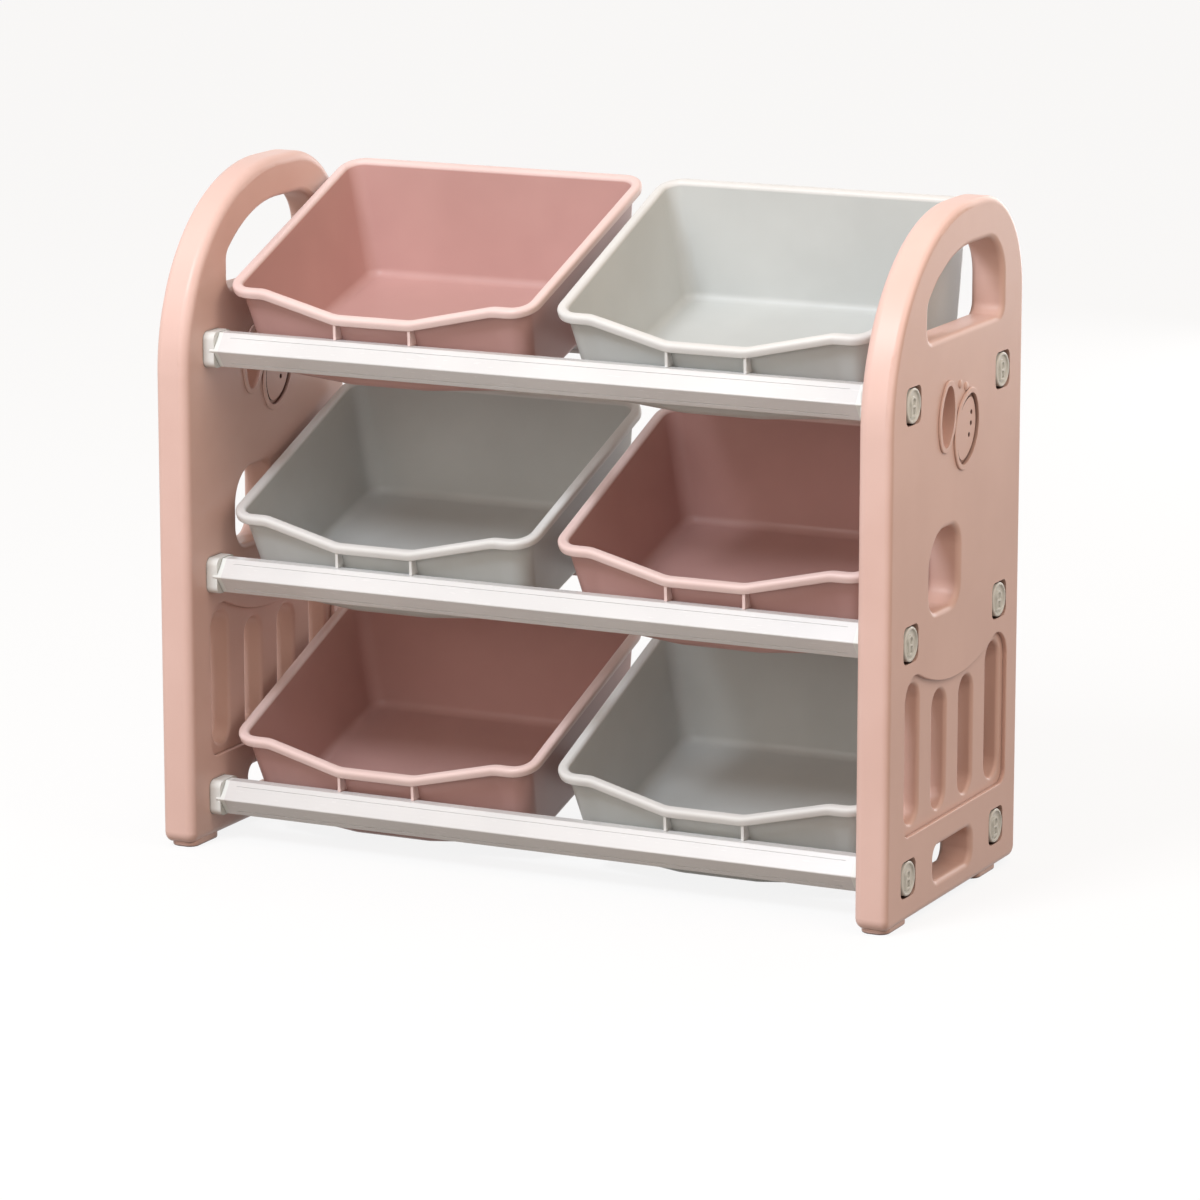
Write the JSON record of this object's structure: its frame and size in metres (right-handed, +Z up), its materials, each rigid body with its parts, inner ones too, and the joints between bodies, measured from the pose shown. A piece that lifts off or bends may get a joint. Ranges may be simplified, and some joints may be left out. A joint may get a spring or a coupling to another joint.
{
  "type": "toy cabinet",
  "caption": "Toy storage cabinet with moulded side panels, cross rails on locking plugs and tilted lift-out bins.",
  "frame": {"origin": "middle of the footprint on the floor", "axes": "+X to the cabinet's right-hand side as drawn from the front, +Y to the back, +Z up"},
  "size_m": [0.825, 0.345, 0.706],
  "materials": {
    "panel_pink": "satin",
    "rail_white": "gloss",
    "fitting_grey": "satin",
    "bin_pink": "satin",
    "bin_white": "satin"
  },
  "bodies": {
    "frame": {"left_side_panel": "panel_pink", "right_side_panel": "panel_pink", "bottom_front_rail": "rail_white", "bottom_front_left_plug": "fitting_grey", "bottom_front_left_lock_cap": "fitting_grey", "bottom_front_right_plug": "fitting_grey", "bottom_front_right_lock_cap": "fitting_grey", "bottom_rear_rail": "rail_white", "bottom_rear_left_plug": "fitting_grey", "bottom_rear_left_lock_cap": "fitting_grey", "bottom_rear_right_plug": "fitting_grey", "bottom_rear_right_lock_cap": "fitting_grey", "middle_front_rail": "rail_white", "middle_front_left_plug": "fitting_grey", "middle_front_left_lock_cap": "fitting_grey", "middle_front_right_plug": "fitting_grey", "middle_front_right_lock_cap": "fitting_grey", "middle_rear_rail": "rail_white", "middle_rear_left_plug": "fitting_grey", "middle_rear_left_lock_cap": "fitting_grey", "middle_rear_right_plug": "fitting_grey", "middle_rear_right_lock_cap": "fitting_grey", "top_front_rail": "rail_white", "top_front_left_plug": "fitting_grey", "top_front_left_lock_cap": "fitting_grey", "top_front_right_plug": "fitting_grey", "top_front_right_lock_cap": "fitting_grey", "top_rear_rail": "rail_white", "top_rear_left_plug": "fitting_grey", "top_rear_left_lock_cap": "fitting_grey", "top_rear_right_plug": "fitting_grey", "top_rear_right_lock_cap": "fitting_grey"},
    "bottom_left_bin_body": {"bottom_left_bin": "bin_pink"},
    "bottom_right_bin_body": {"bottom_right_bin": "bin_white"},
    "middle_left_bin_body": {"middle_left_bin": "bin_white"},
    "middle_right_bin_body": {"middle_right_bin": "bin_pink"},
    "top_left_bin_body": {"top_left_bin": "bin_pink"},
    "top_right_bin_body": {"top_right_bin": "bin_white"}
  },
  "joints": [
    {"name": "bottom_left_bin_lift", "type": "slide", "parent": "frame", "child": "bottom_left_bin_body", "axis": [0, -0.3665, 0.9304], "range_m": [0, 0.06]},
    {"name": "bottom_right_bin_lift", "type": "slide", "parent": "frame", "child": "bottom_right_bin_body", "axis": [0, -0.3665, 0.9304], "range_m": [0, 0.06]},
    {"name": "middle_left_bin_lift", "type": "slide", "parent": "frame", "child": "middle_left_bin_body", "axis": [0, -0.3665, 0.9304], "range_m": [0, 0.06]},
    {"name": "middle_right_bin_lift", "type": "slide", "parent": "frame", "child": "middle_right_bin_body", "axis": [0, -0.3665, 0.9304], "range_m": [0, 0.06]},
    {"name": "top_left_bin_lift", "type": "slide", "parent": "frame", "child": "top_left_bin_body", "axis": [0, -0.3665, 0.9304], "range_m": [0, 0.24]},
    {"name": "top_right_bin_lift", "type": "slide", "parent": "frame", "child": "top_right_bin_body", "axis": [0, -0.3665, 0.9304], "range_m": [0, 0.24]}
  ]
}
